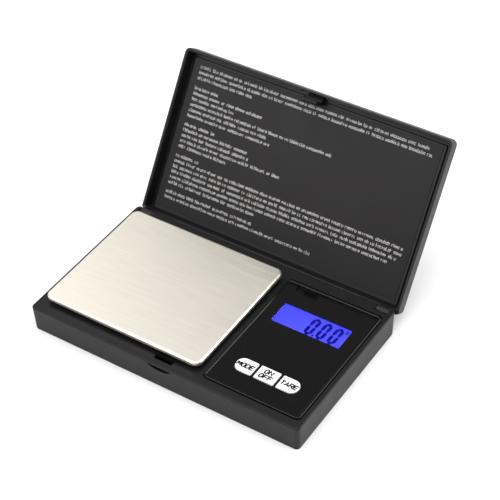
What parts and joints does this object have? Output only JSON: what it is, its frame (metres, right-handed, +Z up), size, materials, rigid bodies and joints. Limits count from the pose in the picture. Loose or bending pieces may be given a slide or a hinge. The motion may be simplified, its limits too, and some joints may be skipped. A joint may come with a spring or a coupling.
{
  "type": "digital gram scale",
  "caption": "Flip-lid pocket gram scale with a steel weighing pan, blue backlit display, three keys, load cell, battery bay with sliding door, and a hinged lid shown open.",
  "frame": {"origin": "centre of the flat underside, on the surface that the scale stands on", "axes": "+X along the long side towards the display panel, -Y out of the front with the thumb recess, +Z up"},
  "size_m": [0.1288, 0.123, 0.0703],
  "materials": {
    "case_black": "fine-grained black moulded ABS, satin",
    "pan_steel": "stainless sheet, brushed along one side",
    "panel_gloss": "piano-black polished acrylic",
    "window_clear": "clear polished acrylic",
    "lcd_glass": "liquid-crystal cell lit blue from behind",
    "backlight_blue": "blue light guide",
    "key_white": "white moulded ABS, satin",
    "steel": "zinc-plated steel",
    "aluminium": "milled aluminium",
    "board_green": "green solder mask on glass-fibre board",
    "black_rubber": "black rubber, resin or wire insulation",
    "silicone_white": "white silicone or foam tape",
    "label_grey": "dark grey printed film, matt",
    "label_pale": "silver-grey film label, blank",
    "cell_blue": "dark blue printed cell jacket, plain",
    "wire_red": "red wire insulation"
  },
  "bodies": {
    "base": {"housing": "case_black", "bottom_cover": "case_black", "panel_bezel": "panel_gloss", "display_window": "window_clear", "lcd_glass": "lcd_glass", "lcd_backlight": "backlight_blue", "beam_screw_fixed_1": "steel", "beam_screw_fixed_2": "steel", "beam_spacer": "steel", "board_screw_1": "steel", "board_screw_2": "steel", "case_screw_1": "steel", "case_screw_2": "steel", "case_screw_3": "steel", "case_screw_4": "steel", "overload_stop": "steel", "hinge_pin_left": "steel", "hinge_pin_right": "steel", "battery_bridge": "steel", "battery_contact_plus": "steel", "battery_contact_minus": "steel", "battery_spring_left": "steel", "battery_spring_right": "steel", "load_cell_beam": "aluminium", "main_board": "board_green", "lcd_connector_strip": "black_rubber", "controller_chip": "black_rubber", "converter_chip": "black_rubber", "switch_mode": "black_rubber", "switch_power": "black_rubber", "switch_tare": "black_rubber", "load_cell_cable": "black_rubber", "battery_lead_minus": "black_rubber", "gauge_seal_top": "silicone_white", "gauge_seal_bottom": "silicone_white", "rating_label": "label_pale", "battery_cell_1": "cell_blue", "battery_cell_2": "cell_blue", "battery_lead_plus": "wire_red"},
    "lid": {"lid_shell": "case_black", "lid_label": "label_grey", "lid_latch": "case_black"},
    "platform": {"weighing_pan": "pan_steel", "platform_carrier": "case_black", "pan_tape_left": "silicone_white", "pan_tape_right": "silicone_white", "beam_screw_free_1": "steel", "beam_screw_free_2": "steel"},
    "key_mode": {"key_mode": "key_white", "plunger_mode": "black_rubber"},
    "key_power": {"key_power": "key_white", "plunger_power": "black_rubber"},
    "key_tare": {"key_tare": "key_white", "plunger_tare": "black_rubber"},
    "battery_door": {"battery_door": "case_black"}
  },
  "joints": [
    {"name": "lid_hinge", "type": "hinge", "parent": "base", "child": "lid", "pos_m": [0, 0.03685, 0.00995], "axis": [-1, 0, 0], "range_deg": [-123.9, 8]},
    {"name": "platform_sink", "type": "slide", "parent": "base", "child": "platform", "axis": [0, 0, -1], "range_m": [0, 0.0003], "stiffness_N_per_m": 6500, "springref_m": -0.00012, "deforming": ["load_cell_beam"]},
    {"name": "key_mode_press", "type": "slide", "parent": "base", "child": "key_mode", "axis": [0, 0, -1], "range_m": [0, 0.0003], "stiffness_N_per_m": 1500, "springref_m": -0.0004},
    {"name": "key_power_press", "type": "slide", "parent": "base", "child": "key_power", "axis": [0, 0, -1], "range_m": [0, 0.0003], "stiffness_N_per_m": 1500, "springref_m": -0.0004},
    {"name": "key_tare_press", "type": "slide", "parent": "base", "child": "key_tare", "axis": [0, 0, -1], "range_m": [0, 0.0003], "stiffness_N_per_m": 1500, "springref_m": -0.0004},
    {"name": "battery_door_slide", "type": "slide", "parent": "base", "child": "battery_door", "axis": [0, 1, 0], "range_m": [0, 0.034]}
  ]
}
